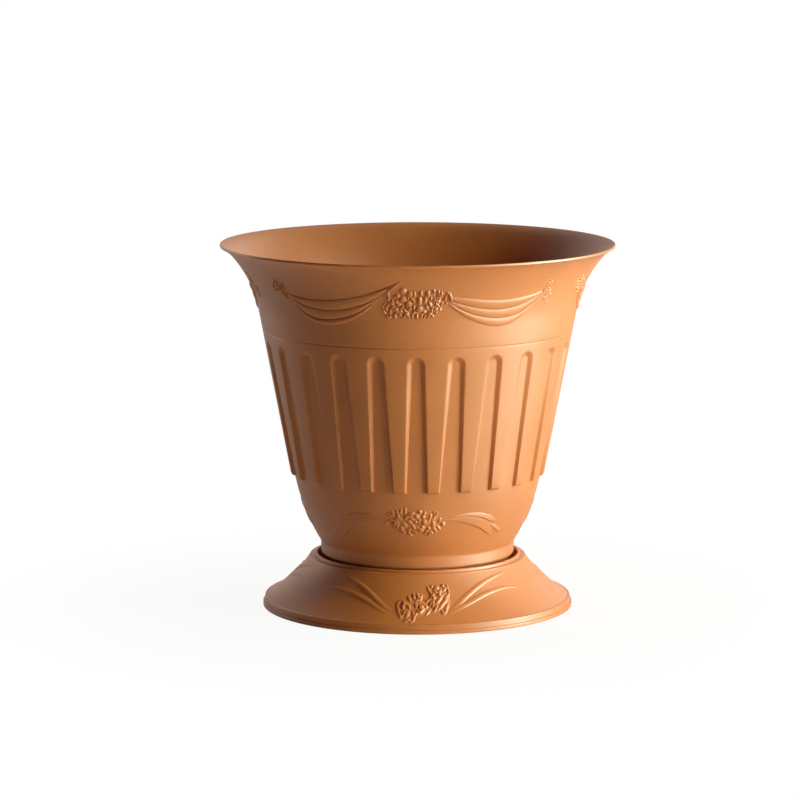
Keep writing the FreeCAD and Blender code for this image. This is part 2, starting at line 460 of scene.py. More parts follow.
def softened(share, ease=0.2):
    """The share where it is above nought, and nought below, with an eased bend."""
    return min(max(share + ease, 0.0), 2.0 * ease) ** 2 / (4.0 * ease) + max(share - ease, 0.0)


# Lines across a flute's slanted side, from the rib at 0 to the floor at 1, and their shares of the depth
side_lines = [-0.26, -0.13, 0.0, 0.13, 0.26, 0.5, 0.74, 0.87, 1.0, 1.13, 1.26]
side_depths = [softened(share) - softened(share - 1.0) for share in side_lines]
blend_lines = 3
floor_lines = 3
leg_rows = 12
arch_segments = 2 * columns_per_flute
half_tile = pi / flute_count
arch_top_margin = 3.5
tile_top_height = flute_top_height + arch_top_margin
tile_end_height = rib_end_height + rib_end_round
cos_lean = cos(body_taper)
top_half_flute = half_tile * flute_top_radius - rib_top_width / 2.0
end_half_flute = half_tile * rib_end_radius - rib_end_width / 2.0
arch_start_height = flute_top_height - top_half_flute * cos_lean


def flute_half(share, height):
    """Half width of a flute at a share of its slanted side, below its round top."""
    along = (height - rib_end_height) / (arch_start_height - rib_end_height)
    top = top_half_flute - share * flute_top_side
    end = end_half_flute - share * flute_end_side
    return end + (top - end) * along


def flute_columns(height):
    """Azimuths and depth shares across a tile at a height, from its left border to its right one."""
    radius = body_radius(height)
    right = [flute_half(share, height) / radius for share in side_lines]
    blends = [half_tile + (right[0] - half_tile) * step / blend_lines for step in range(blend_lines)]
    inner = [right[-1] * step / floor_lines for step in range(floor_lines - 1, 0, -1)]
    half = np.array(blends + right + inner)
    shares = [0.0] * blend_lines + side_depths + [1.0] * len(inner)
    return np.concatenate([-half, [0.0], half[::-1]]), np.array(shares + [1.0] + shares[::-1])


def flute_surface(azimuth, height, share):
    """Point of the fluted body."""
    radius = body_radius(height) - share * (body_radius(height) - flute_floor_radius(height))
    return on_pot(azimuth, radius, height)


def arch_border(step):
    """Azimuth and height of the tile's upper border, walked from right to left."""
    side = arch_segments // 4
    if step <= side:
        return half_tile, arch_start_height + (tile_top_height - arch_start_height) * step / side
    if step >= 3 * side:
        back = arch_segments - step
        return -half_tile, arch_start_height + (tile_top_height - arch_start_height) * back / side
    return half_tile * (2 * side - step) / side, tile_top_height


def arch_curve(half):
    """Azimuths and heights of a half circle round the head of a flute, from right to left."""
    angle = np.linspace(0.0, pi, arch_segments + 1)
    height = arch_start_height + half * np.sin(angle) * cos_lean
    return half * np.cos(angle) / body_radius(height), height


def add_flute(skin, middle):
    """One flute with half a rib on each side."""
    rows = []
    for height in np.linspace(tile_end_height, arch_start_height, leg_rows + 1):
        azimuths, shares = flute_columns(height)
        rows.append(flute_surface(middle + azimuths, height, shares))
    skin.patch(rows)

    border = np.array([arch_border(step) for step in range(arch_segments + 1)])
    outer = np.array(arch_curve(top_half_flute - side_lines[0] * flute_top_side)).T
    curves = []
    for step in range(blend_lines):
        mixed = border + (outer - border) * step / blend_lines
        curves.append(flute_surface(middle + mixed[:, 0], mixed[:, 1], 0.0))
    for share, depth in zip(side_lines, side_depths):
        azimuth, height = arch_curve(top_half_flute - share * flute_top_side)
        curves.append(flute_surface(middle + azimuth, height, depth))
    inmost = top_half_flute - side_lines[-1] * flute_top_side
    for step in range(floor_lines - 1, 0, -1):
        azimuth, height = arch_curve(inmost * step / floor_lines)
        curves.append(flute_surface(middle + azimuth, height, 1.0))
    skin.patch(curves)
    skin.fan(flute_surface(middle, arch_start_height, 1.0), curves[-1])


# Rows of a rib's rounded lower end: level as a share of its height, and share of the depth that is left
rib_end_rows = ((1.0, 1.0), (0.6, 0.95), (0.2, 0.8), (-0.1, 0.5), (-0.35, 0.2), (-0.65, 0.04), (-1.0, 0.0))


def pot_mesh():
    """The whole pot as one closed skin."""
    skin = Skin()
    middles = [2.0 * half_tile * index for index in range(flute_count)]
    for middle in middles:
        add_flute(skin, middle)

    # Rib ends, bowl and foot use the flutes' own columns
    azimuths, shares = flute_columns(tile_end_height)
    seam = tau - half_tile
    lower_azimuths = np.concatenate([middle + azimuths[:-1] for middle in middles] + [[seam]])
    rib_shares = np.concatenate([1.0 - shares[:-1]] * flute_count + [[1.0]])
    rows = []
    for rise, keep in rib_end_rows:
        height = rib_end_height + rise * rib_end_round
        under = flute_floor_radius(height) if rise >= 0.0 else bowl.radius_at(height)
        rib = body_radius(height) - flute_floor_radius(height)
        rows.append(on_pot(lower_azimuths, under + keep * rib * rib_shares, height))
    skin.patch(rows)

    bowl_start = rib_end_height - rib_end_round
    bowl_points = bowl.points(bowl_steps, start=(bowl.radius_at(bowl_start), bowl_start))
    notch_top_radius = foot_end_radius + foot_slope * notch_height
    foot_profile = bowl_points[:-2] + [
        (foot_radius, foot_height, foot_round), (foot_radius, band_low_height, band_round),
        (foot_ring_radius, foot_ring_height, band_round),
        (foot_end_radius + foot_slope * notch_height * 2.0, notch_height * 2.0),
        (notch_top_radius, notch_height)]
    skin.turned(lifted(rounded(foot_profile, foot_corner_steps)), lower_azimuths)
    foot_inner_end = foot_end + left_of(up_foot) * pot_wall

    def foot_inner(height):
        return foot_inner_end[0] + (height - foot_inner_end[1]) * foot_slope

    notch_turn = tau / notch_count
    from_notch = np.abs((lower_azimuths + notch_turn / 2.0) % notch_turn - notch_turn / 2.0)
    in_notch = from_notch * foot_end_radius < notch_width / 2.0
    lower_edge = np.where(in_notch, notch_height - notch_gap, 0.0)
    eased_edge = np.minimum(lower_edge + foot_edge_ease, notch_height)
    foot_rows = (
        (notch_top_radius, notch_height), (foot_end_radius, eased_edge),
        (foot_end_radius - foot_edge_ease, lower_edge), (foot_inner(0.0) + foot_edge_ease, lower_edge),
        (foot_inner(0.0), eased_edge), (foot_inner(notch_height), notch_height))
    skin.patch([on_pot(lower_azimuths, radius, height) for radius, height in foot_rows])
    inner_rows = [(foot_inner(level), level) for level in (notch_height, floor_recess)]
    skin.turned(lifted(inner_rows), lower_azimuths)

    # Band, flare, lip and the smooth inner face
    upper_azimuths = np.linspace(-half_tile, seam, column_count + 1)
    floor_top = floor_recess + floor_thickness
    ring_half = ring_groove_width / 2.0
    inner_crease = flare.points(1, pot_wall)[-1]
    lip = TangentArc(crease, flare.end_direction(), lip_low)
    inner_lip = TangentArc(inner_crease, flare.end_direction(), lip_top)
    inner_bowl_top = bowl_top + left_of(up_floor) * pot_wall
    inner_ring = inner_bowl_top + up_floor * ((ring_height - inner_bowl_top[1]) / up_floor[1])
    up_band = np.array([0.0, 1.0])
    up_tuck = unit(np.array([foot_tuck, foot_tuck_height]))
    inner_band = np.array([foot_radius - pot_wall, band_low_height])
    inner_tuck = np.array([foot_ring_radius, foot_ring_height]) + left_of(up_tuck) * pot_wall
    inner_ring_top = lines_crossing(foot_inner_end, up_foot, inner_tuck, up_tuck)
    inner_band_low = lines_crossing(inner_band, up_band, inner_tuck, up_tuck)
    inner_foot_top = bowl.line_crossing(
        inner_band, up_band, -pot_wall, foot_top + left_of(up_band) * pot_wall)
    profile = [(body_radius(tile_top_height), tile_top_height),
               (body_radius(ring_height - ring_half), ring_height - ring_half, groove_edge_round),
               (body_radius(ring_height) - ring_groove_depth, ring_height, groove_floor_round),
               (body_radius(ring_height + ring_half), ring_height + ring_half, groove_edge_round)]
    profile += [(body_radius(ring_height + rise), ring_height + rise) for rise in band_row_rises]
    profile += flare.points(flare_steps)[:-1]
    profile += lip.points(lip_steps)[:-1]
    profile += [(*lip_low, lip_round), (*lip_top, lip_round)]
    profile += inner_lip.points(lip_steps)[::-1][1:]
    profile += flare.points(inner_flare_steps, pot_wall, inner_crease, flare_start)[1:]
    profile += [(*inner_ring, inner_ring_round), tuple(inner_bowl_top)]
    profile += bowl.points(inner_bowl_steps, -pot_wall, bowl_top, inner_foot_top)[1:-2]
    profile += [(*inner_foot_top, inner_foot_round), (*inner_band_low, band_round),
                (*inner_ring_top, band_round), (foot_inner(floor_top), floor_top, floor_round),
                (foot_inner(floor_top) - floor_margin, floor_top)]
    profile = rounded(profile)
    skin.turned(lifted(profile), upper_azimuths)

    # Floor with its drain holes
    hole_circle = foot_end_radius - pot_wall - drain_hole_inset
    hole_turn = np.linspace(0.0, tau, hole_segments + 1)
    holes = []
    for index in range(drain_hole_count):
        middle = tau * index / drain_hole_count
        x = hole_circle * sin(middle) + drain_hole_radius * np.cos(hole_turn)
        y = -hole_circle * cos(middle) + drain_hole_radius * np.sin(hole_turn)
        holes.append((x, y))

    def hole_rings(height):
        level = height + seat_height
        return [np.stack([x, y, np.full_like(x, level)], axis=-1) * MM for x, y in holes]

    for top, under in zip(hole_rings(floor_top), hole_rings(floor_recess)):
        skin.patch([top, under])
    fills = []
    for azimuths, radius, level in ((upper_azimuths, profile[-1][0], floor_top),
                                    (lower_azimuths, foot_inner(floor_recess), floor_recess)):
        fills.append([on_pot(azimuths[:-1], radius, level)] + [ring[:-1] for ring in hole_rings(level)])
    return skin.mesh("pot_skin", fills)


pot_skin = piece("pot_shell", pot_mesh(), "pot")
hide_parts("pot")


# Saucer
bead_side_height = saucer_height - bead_width / 2.0
shoulder_height = saucer_height - shoulder_drop
skirt_top = np.array([shoulder_radius, shoulder_height - shoulder_step])
skirt_end = np.array([skirt_radius, ledge_height])
skirt = TangentArc(
    skirt_top, np.array([sin(skirt_top_angle), -cos(skirt_top_angle)]), skirt_end)


def well_wall_radius(height):
    """Inner radius of the well, which keeps the foot's draft."""
    return well_radius - (bead_side_height - height) * foot_slope


def saucer_mesh():
    """The turned saucer as one closed skin."""
    well_floor_radius = well_wall_radius(well_floor_height)
    well_under_height = well_floor_height - saucer_wall
    base_inner_radius = ledge_radius - saucer_wall
    under_top = skirt.points(1, -saucer_wall, skirt_top, skirt_end)[0]
    under_end = skirt.line_crossing(
        (base_inner_radius, 0.0), np.array([0.0, 1.0]), -saucer_wall, skirt_end)
    bead_half = bead_width / 2.0
    bead_middle = well_radius + bead_half
    bead = [(bead_middle + bead_half * cos(turn), bead_side_height + bead_half * sin(turn))
            for turn in np.linspace(pi, 0.0, bead_steps + 1)]
    well_row = bead_side_height - well_row_drop
    profile = [(0.0, well_floor_height), (well_floor_radius / 2.0, well_floor_height),
               (well_floor_radius, well_floor_height, well_round), (well_wall_radius(well_row), well_row)]
    profile += bead
    profile += [(bead_radius, shoulder_height, inner_corner_round),
                (shoulder_radius, shoulder_height, shoulder_round), (*skirt_top, shoulder_round)]
    profile += skirt.points(skirt_steps)[1:-1]
    profile += [(*skirt_end, shoulder_round), (ledge_radius, ledge_height, edge_round),
                (ledge_radius, base_edge_height, inner_corner_round),
                (base_radius, base_edge_height, edge_round), (base_radius, 0.0, base_round),
                (base_inner_radius, 0.0, base_round)]
    profile += skirt.points(skirt_under_steps, -saucer_wall, under_end, skirt_top)[:-1]
    profile += [tuple(under_top), (well_radius + saucer_wall, under_top[1], lip_under_round),
                (well_floor_radius + saucer_wall, well_under_height, well_under_round),
                (well_floor_radius / 2.0, well_under_height), (0.0, well_under_height)]
    skin = Skin()
    skin.turned(rounded(profile), np.linspace(0.0, tau, column_count + 1))
    return skin.mesh("saucer_skin")


def seat_rib_mesh():
    """Ribs on the well floor that carry the pot's foot, with eased upper edges."""
    outer = well_wall_radius(well_floor_height) + saucer_wall / 2.0
    inner = outer - seat_rib_length
    half = seat_rib_width / 2.0
    low = well_floor_height - saucer_wall / 2.0
    high = seat_height
    ease = seat_rib_ease
    section = [(-half, low), (-half, high - ease), (-half + ease, high),
               (half - ease, high), (half, high - ease), (half, low)]
    skin = Skin()
    for index in range(seat_rib_count):
        turn = tau * index / seat_rib_count
        along = np.array([cos(turn), sin(turn), 0.0])
        across = np.array([-sin(turn), cos(turn), 0.0])
        ends = []
        for reach, drop in ((inner, ease), (inner + ease, 0.0), (outer, 0.0)):
            ends.append([(along * reach + across * side + np.array([0.0, 0.0, min(level, high - drop)])) * MM
                         for side, level in section + section[:1]])
        skin.patch(ends)
        for end in (ends[0], ends[-1]):
            first = skin.add(end[:-1])
            skin.faces.append(tuple(range(first, first + len(section))))
    return skin.mesh("saucer_seat_ribs")


saucer_skin = piece("saucer_shell", saucer_mesh(), "saucer")
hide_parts("saucer")
piece("saucer_seat_ribs", seat_rib_mesh(), "saucer")


class Track:
    """A stretch of a turned surface, measured along its profile from below."""

    def __init__(self, profile):
        self.points = np.array(profile, float)
        steps = np.linalg.norm(np.diff(self.points, axis=0), axis=1)
        self.length = np.concatenate([[0.0], np.cumsum(steps)])
        slope = np.gradient(self.points, self.length, axis=0)
        self.tangent = slope / np.linalg.norm(slope, axis=1)[:, None]

    def at_height(self, height):
        return np.interp(height, self.points[:, 1], self.length)

    def radius(self, along):
        return np.interp(along, self.length, self.points[:, 0])

    def place(self, azimuth, along, lift):
        """Metre positions a lift above the surface."""
        radius = self.radius(along)
        height = np.interp(along, self.length, self.points[:, 1])
        out_r = np.interp(along, self.length, self.tangent[:, 1])
        out_h = -np.interp(along, self.length, self.tangent[:, 0])
        return on_round(azimuth, radius + lift * out_r, height + lift * out_h)


def smooth_interp(x, knots, values):
    """Cubic interpolation with slopes taken from the neighbours."""
    slopes = np.gradient(values, knots)
    index = np.clip(np.searchsorted(knots, x) - 1, 0, len(knots) - 2)
    span = knots[index + 1] - knots[index]
    t = (x - knots[index]) / span
    a, b = values[index], values[index + 1]
    da, db = slopes[index] * span, slopes[index + 1] * span
    return (a * (1 + 2 * t) * (1 - t) ** 2 + b * t * t * (3 - 2 * t)
            + da * t * (1 - t) ** 2 - db * t * t * (1 - t))


def tapered(full, start, end, least=0.0, power=0.5):
    """A size along a curve that grows from its least at one end and shrinks to it at the other."""
    share = np.linspace(0.0, 1.0, Drapery.steps + 1)
    grow = np.clip(share / start, 0.0, 1.0)
    fall = np.clip((1.0 - share) / end, 0.0, 1.0)
    return least + (full - least) * np.minimum(grow, fall) ** power


relief_sink = 0.4           # depth to which the edges of raised forms run into the wall
relief_root = 1.0           # depth of their closed underside


class Drapery:
    """Moulded folds, ribbons and streamers on a track, made of lines that run along them."""

    steps = 64
    lines = 9
    sharp_angle = 50.0
    fold_steepness = 0.5
    band_section = ((0.0, 0.0), (0.08, 0.3), (0.3, 0.5), (0.6, 0.75), (0.82, 0.97), (0.92, 1.0), (0.97, 0.8),
                    (1.0, 0.0))

    def __init__(self, track):
        self.track = track
        self.strips = []

    def curve(self, points):
        """Azimuths and lengths on the track of a smooth curve through points in degrees and mm."""
        points = np.array(points, float)
        azimuth = np.radians(points[:, 0])
        along = self.track.at_height(points[:, 1])
        reach = np.hypot(np.diff(azimuth) * self.track.radius(along[1:]), np.diff(along))
        knots = np.concatenate([[0.0], np.cumsum(reach)])
        share = np.linspace(0.0, knots[-1], self.steps + 1)
        return np.array([smooth_interp(share, knots, azimuth), smooth_interp(share, knots, along)])

    def folds(self, edges, rise, ground, fade):
        """Rounded folds between edge curves, with creases at a ground height between them."""
        curves = [self.curve(edge) for edge in edges]
        last = len(curves) - 2
        strip = []
        for index, (upper, lower) in enumerate(zip(curves, curves[1:])):
            half = np.abs(upper[1] - lower[1]) / 2.0
            crest = (ground + np.minimum(rise, self.fold_steepness * half)) * fade
            crease = ground * fade
            bases = (crease if index else -relief_sink, crease if index < last else -relief_sink)
            for turn in np.linspace(0.0, pi, self.lines)[min(index, 1):]:
                base = bases[0] if turn < pi / 2.0 else bases[1]
                middle = upper + (lower - upper) * (1.0 - cos(turn)) / 2.0
                strip.append((middle, base + (crest - base) * sin(turn)))
        self.strips.append(strip)

    def ribbon(self, upper, lower, rise):
        """A flat band that stands up towards its lower edge."""
        upper, lower = self.curve(upper), self.curve(lower)
        strip = []
        for share, level in self.band_section:
            strip.append((upper + (lower - upper) * share, (rise + relief_sink) * level - relief_sink))
        self.strips.append(strip)

    def ridge(self, points, width, rise):
        """A rounded ridge along a curve."""
        middle = self.curve(points)
        radius = self.track.radius(middle[1])
        run = np.gradient(middle[0]) * radius
        climb = np.gradient(middle[1])
        size = np.hypot(run, climb)
        left = np.array([-climb / size / radius, run / size])
        strip = []
        for turn in np.linspace(0.0, pi, self.lines):
            lift = (rise + relief_sink) * sin(turn) - relief_sink
            strip.append((middle + left * width / 2.0 * cos(turn), lift))
        self.strips.append(strip)

    def mesh(self, name, turn):
        """Closed strips, rooted a little inside the wall."""
        skin = Skin()
        for strip in self.strips:
            top = [self.track.place(line[0] + turn, line[1], lift) for line, lift in strip]
            under = [self.track.place(line[0] + turn, line[1], -relief_root) for line, lift in strip]
            skin.patch(top + under[::-1] + top[:1])
            for end in (0, -1):
                skin.patch([[row[end] for row in top], [row[end] for row in under]])
        return skin.mesh(name)


class Relief:
    """Moulded flowers on a track: the highest of many small forms, in mm above the surface."""

    step = 0.5
    sharp_angle = 75.0
    mound_power = 2.5
    bud_rise = 0.9
    bud_growth = 0.34           # added for each mm of a bud's radius
    petal_growth = 0.42         # added for each mm of a petal's half width
    blossom_bud_rise = 1.7
    blossom_petal_rise = 1.5
    blossom_turn = 20.0
    blossom_shares = (0.66, 0.4, 0.3)   # petals' distance, half length and half width, and the bud's radius
    kept_share = 0.9            # forms are kept down to this share of the sink

    def __init__(self, track, azimuths, heights):
        self.track = track
        low, high = (track.at_height(h) for h in heights)
        middle = track.radius((low + high) / 2.0)
        start, end = (radians(a) for a in azimuths)
        across = int((end - start) * middle / self.step) + 1
        up = int((high - low) / self.step) + 1
        self.azimuth, self.along = np.meshgrid(np.linspace(start, end, across), np.linspace(low, high, up))
        self.radius = track.radius(self.along)
        self.height = np.full(self.azimuth.shape, -2.0 * relief_sink)
        self.ground = np.zeros(self.azimuth.shape)

    def from_spot(self, azimuth, height, turn=0.0):
        """Distances to the right of and above a spot, in axes turned by an angle in degrees."""
        right = (self.azimuth - radians(azimuth)) * self.radius
        up = self.along - self.track.at_height(height)
        angle = radians(turn)
        return right * cos(angle) + up * sin(angle), up * cos(angle) - right * sin(angle)

    def mound(self, azimuth, height, half_width, half_height, rise):
        """A low swelling of the ground that bears the forms made after it."""
        right, up = self.from_spot(azimuth, height)
        power = self.mound_power
        reach = np.abs(right / half_width) ** power + np.abs(up / half_height) ** power
        swell = rise * np.clip(1.0 - reach ** 2, -1.0, 1.0)
        self.height = np.maximum(self.height, swell)
        self.ground = np.maximum(self.ground, swell)

    def dome(self, azimuth, height, half_length, half_width, rise, turn=0.0):
        """A smooth oval swelling on the ground."""
        right, up = self.from_spot(azimuth, height, turn)
        reach = (right / half_length) ** 2 + (up / half_width) ** 2
        inside = self.ground + rise * np.sqrt(np.maximum(1.0 - reach, 0.0))
        outside = -relief_sink * np.minimum(reach - 1.0, 1.0)
        self.height = np.maximum(self.height, np.where(reach < 1.0, inside, outside))

    def beads(self, rows):
        """Round buds, each given by azimuth, height and radius."""
        for azimuth, height, size in rows:
            self.dome(azimuth, height, size, size, self.bud_rise + self.bud_growth * size)

    def petals(self, rows, relief=1.0, grown=1.0):
        """Petals and leaves, each given by azimuth, height, half length, half width and slant."""
        for azimuth, height, length, width, turn in rows:
            rise = relief * (1.0 + self.petal_growth * width)
            self.dome(azimuth, height, length * grown, width * grown, rise, turn)

    def blossom(self, azimuth, height, size, count=6, relief=1.0):
        """A small open flower: petals round a bud."""
        reach, length, width = (share * size for share in self.blossom_shares)
        radius = self.track.radius(self.track.at_height(height))
        for index in range(count):
            turn = 360.0 * index / count + self.blossom_turn
            angle = radians(turn)
            across = degrees(reach * cos(angle) / radius)
            above = height + reach * sin(angle)
            self.dome(azimuth + across, above, length, width, self.blossom_petal_rise * relief, turn)
        self.dome(azimuth, height, width, width, self.blossom_bud_rise * relief)

    def mesh(self, name, turn):
        """Closed mesh of the raised part, rooted a little inside the wall."""
        raised = self.height > -self.kept_share * relief_sink
        cells = raised[:-1, :-1] | raised[1:, :-1] | raised[:-1, 1:] | raised[1:, 1:]
        cells[[0, -1], :] = False
        cells[:, [0, -1]] = False
        # Cells that would touch at a corner alone get the cells between them
        while True:
            a, b = cells[:-1, :-1], cells[1:, 1:]
            c, d = cells[1:, :-1], cells[:-1, 1:]
            touching = (a & b & ~c & ~d) | (c & d & ~a & ~b)
            if not touching.any():
                break
            a |= touching
            c |= touching
        spots = np.arange(raised.size).reshape(raised.shape)
        corners = np.stack([spots[:-1, :-1], spots[:-1, 1:], spots[1:, 1:], spots[1:, :-1]], axis=-1)[cells]
        used, number = np.unique(corners, return_inverse=True)
        count = len(used)
        upper = number.reshape(-1, 4)
        edges = list(zip(upper.ravel().tolist(), np.roll(upper, -1, axis=1).ravel().tolist()))
        shared = set(edges)
        faces = upper.tolist() + (upper[:, ::-1] + count).tolist()
        faces += [(q, p, p + count, q + count) for p, q in edges if (q, p) not in shared]
        azimuth, along = self.azimuth.flat[used] + turn, self.along.flat[used]
        lifts = (np.maximum(self.height.flat[used], -relief_sink), -relief_root)
        points = [self.track.place(azimuth, along, lift) for lift in lifts]
        data = bpy.data.meshes.new(name)
        data.from_pydata(np.vstack(points).tolist(), [], faces)
        return data


def stamp(made, name, body, count=3):
    """Equal copies of a relief round the object."""
    for index in range(count):
        label = name + "." + str(index + 1)
        piece(label, made.mesh(label, tau * index / count), body, made.sharp_angle)


def mirrored(points):
    return [(-azimuth, height) for azimuth, height in points]


# Festoon on the band under the rim: edges of its draped folds, from the highest to the lowest
band_heights = np.linspace(ring_height + band_track_rise, flare_start_height, band_track_rows)
band_track = Track(lifted([(body_radius(h), h) for h in band_heights] + flare.points(flare_track_steps)[1:]))
left_edges = (
    [(-47.4, 333.4), (-42.2, 331.2), (-36.9, 330.4), (-29.2, 331.6), (-22.1, 334.8), (-17.6, 338),
     (-14.1, 341.4), (-10.7, 345.2), (-7.8, 349), (-4.6, 354)],
    [(-47.2, 332.2), (-45.1, 328.1), (-41, 323.4), (-34.7, 320.9), (-28.7, 321.1), (-22.8, 324.1),
     (-16.8, 330), (-12.4, 336.8), (-9.6, 342.2), (-6.6, 347), (-4.4, 351.6)],
    [(-47.1, 331.4), (-45.2, 323.6), (-41.9, 316.2), (-37.7, 311.8), (-31.8, 311), (-25.7, 313.8),
     (-20.3, 319.4), (-15.2, 328.8), (-11.6, 336.8), (-9.5, 341.9), (-6.5, 346.8), (-4.4, 351.5)],
    [(-46.9, 330.4), (-45.6, 321), (-43.2, 314), (-39.1, 307.8), (-34.8, 305.2), (-29.6, 305.6),
     (-23.5, 310.4), (-19.5, 316.4), (-15.7, 324.6), (-9.4, 341.6), (-6.4, 346.6), (-4.3, 351.4)])
right_edges = (
    [(10.6, 337.8), (15.8, 335.8), (20.8, 333.7), (26, 332.2), (31.5, 331.9), (36.3, 333), (41, 335),
     (45.4, 337.6)],
    [(10.8, 333.6), (12.3, 331.8), (16.8, 327.6), (22.1, 324), (27.1, 322.2), (32.3, 322.6), (38, 325.8),
     (42.1, 330.4), (45.4, 336.4)],
    [(10.8, 331.6), (12.4, 328.6), (16.4, 321.9), (21.7, 316.6), (27.7, 313.5), (33, 313.9), (37.6, 317.2),
     (41.6, 324), (45.4, 335.4)],
    [(10.6, 329.8), (14.1, 321.2), (18.4, 313.7), (23.1, 308), (28.1, 304.7), (33.5, 305.6), (38.5, 312),
     (42.3, 321.6), (45.4, 334.2)])
fold_rise = 1.2
fold_ground = 0.2
fold_fade = tapered(1.0, 0.04, 0.04, least=0.3)
tie_taper = 0.3
swag = Drapery(band_track)
for edges in (left_edges, right_edges):
    swag.folds(edges, fold_rise, fold_ground, fold_fade)
for path, width, rise in (
        ([(-6, 350.6), (-7.2, 347.6), (-8.5, 344.5), (-9, 340.6), (-8.5, 335.2)], 2.8, 2.2),
        ([(9.7, 343.2), (10.8, 340.4), (11.3, 336.7), (11.7, 331.4)], 3, 2.4)):
    swag.ridge(path, tapered(width, tie_taper, tie_taper), tapered(rise, tie_taper, tie_taper))
stamp(swag, "pot_swags", "pot")

bouquet = Relief(band_track, (-56.0, 54.0), (311.0, 351.0))
bouquet.mound(-0.4, 330.0, 27.0, 13.0, 0.7)
bouquet.beads((
    (-4.1, 343.7, 3.6), (-2, 340.6, 3), (-6, 338.5, 2.6), (-6.9, 337.5, 2), (-4.3, 335.3, 3.7),
    (-2.5, 330.9, 3.4), (-7.9, 332.1, 2.5), (-6.4, 332.5, 1.9), (-5.7, 329.7, 2.2), (1, 325.2, 3.8),
    (-6.7, 325, 2.6), (4.6, 320.5, 2.5), (6.6, 325.1, 2.1), (8, 324.4, 1.8), (-3.2, 319.8, 2.7),
    (7.6, 338.9, 1.8), (-0.6, 322.1, 2), (2.6, 322.7, 2.1), (-1.4, 335.8, 1.8), (9.4, 335, 2)))
bouquet.petals((
    (-0.5, 340.6, 3, 1.3, 85), (1.6, 341.2, 3.2, 1.7, 88), (3.8, 341.2, 3.8, 2.1, 90),
    (5.7, 343.3, 3.2, 1.3, 95), (7.1, 342.1, 2.8, 1.2, 90), (8.3, 339.8, 3.7, 1.3, 100),
    (9.6, 338.1, 2.4, 1.3, 75), (-0.8, 334, 3.2, 1.4, 95), (1.1, 333.6, 5, 2.6, 90),
    (3, 333.9, 3.9, 1.4, 85), (4.6, 330.1, 3.4, 1.7, 115), (3.6, 327.6, 3.5, 1.4, 105),
    (5.4, 327, 2.6, 1.4, 60), (-0.7, 327, 2.7, 1.3, 90), (-2.2, 325.8, 2.6, 1.4, 60),
    (-4.8, 326.9, 2.7, 1.6, 40), (-3.7, 323.9, 2.6, 1.4, 140), (-7.1, 317.8, 3.4, 1.5, 90),
    (-8.6, 321.8, 2.8, 1.3, 75), (-9.9, 324.8, 2.6, 1.2, 110), (-9.4, 328.6, 2.2, 1.2, 60),
    (-7.6, 327.4, 2.5, 1.3, 40), (-8.8, 317.1, 2.5, 1.1, 90), (-4.1, 317.3, 3.4, 1.3, 45),
    (-5.3, 318.8, 2.6, 1.2, 120), (-2.5, 317.1, 2.8, 1.2, 125), (-1.2, 317.4, 3, 1.2, 95),
    (0.3, 317.4, 3.4, 1.5, 95), (1.8, 317.4, 3.1, 1.3, 80), (2.9, 317.4, 3.1, 1.3, 55),
    (4.1, 317.1, 2.4, 1.1, 50), (5.6, 317.9, 2, 1.1, 110), (-10.7, 321.6, 3.1, 1.1, 120),
    (-9.7, 316.7, 2.4, 1.1, 100), (6.6, 329.4, 2.5, 1.3, 30), (8.4, 330, 2.5, 1.2, 45),
    (9.8, 330.8, 2.4, 1.2, 20), (-9, 334.4, 2.2, 1.2, 100), (-10.4, 329.8, 2.2, 1, 70),
    (-11, 326.2, 2, 0.9, 120), (-8.4, 324.8, 2, 1.1, 20), (-6.4, 321.6, 2.6, 1.3, 60),
    (-5, 323.2, 2.2, 1.2, 110), (-7.8, 329.8, 1.8, 1.2, 0), (5.2, 323.2, 2.2, 1.1, 70),
    (6.6, 320.8, 2, 1, 60), (7.4, 328, 2, 1.1, 100), (3, 337.8, 2.2, 1.2, 20),
    (4.8, 335.8, 2.4, 1.2, 80), (-2.6, 336.6, 2.2, 1.2, 60), (-3, 327.6, 2.2, 1.2, 20)))
bouquet.blossom(6.7, 334.5, 4.0)
left_blossoms = (
    (-52.2, 342.6, 4.6), (-50.6, 335.4, 4.8), (-53.9, 337.2, 3.8), (-49.2, 330.6, 3.6), (-49, 340.2, 3.2))
right_blossoms = (
    (47.6, 344.6, 4), (48.6, 336.4, 3.8), (48.2, 329.6, 3.6), (50.6, 332, 2.6), (49.8, 325.2, 2.8))
for blossoms, relief in ((left_blossoms, 1.0), (right_blossoms, 0.5)):
    for blossom in blossoms:
        bouquet.blossom(*blossom, count=5, relief=relief)
bouquet.petals(((46.2, 338.2, 3.4, 1, 92), (-47.9, 334, 2, 1, 150)), relief=0.6)
stamp(bouquet, "pot_bouquet", "pot")


# Posy on the bowl, with ribbons whose upper and lower edges are given for the right side
bowl_track = Track(lifted(bowl.points(track_steps)[::-1]))
bands = (
    ([(18, 112), (24.1, 113.2), (27.8, 113.1), (31.6, 112.6), (37.8, 109.2), (43.6, 104.5)],
     [(15, 108.6), (19.2, 109.6), (23.5, 110.4), (29.4, 109.2), (33.5, 106.7), (38.8, 102), (43.8, 99.6)]),
    ([(13.4, 108.4), (19.2, 109.4), (23.5, 110), (29.4, 108.8), (33.5, 106.3), (38.8, 101.6), (43.6, 95)],
     [(12.6, 106.8), (19.5, 105.2), (24.5, 102.4), (29.6, 98.6), (34.9, 93.4), (39.4, 87.9), (42.9, 84.1)]),
    ([(41, 100.2), (45.6, 95.2), (50.8, 88.4)], [(39.6, 98.2), (43, 93.5), (47.7, 87.7)]))
ribbon_rise = tapered(0.9, 0.3, 0.16, least=0.1, power=0.8)
ribbons = Drapery(bowl_track)
for upper_edge, lower_edge in bands:
    ribbons.ribbon(upper_edge, lower_edge, ribbon_rise)
    ribbons.ribbon(mirrored(upper_edge), mirrored(lower_edge), ribbon_rise)
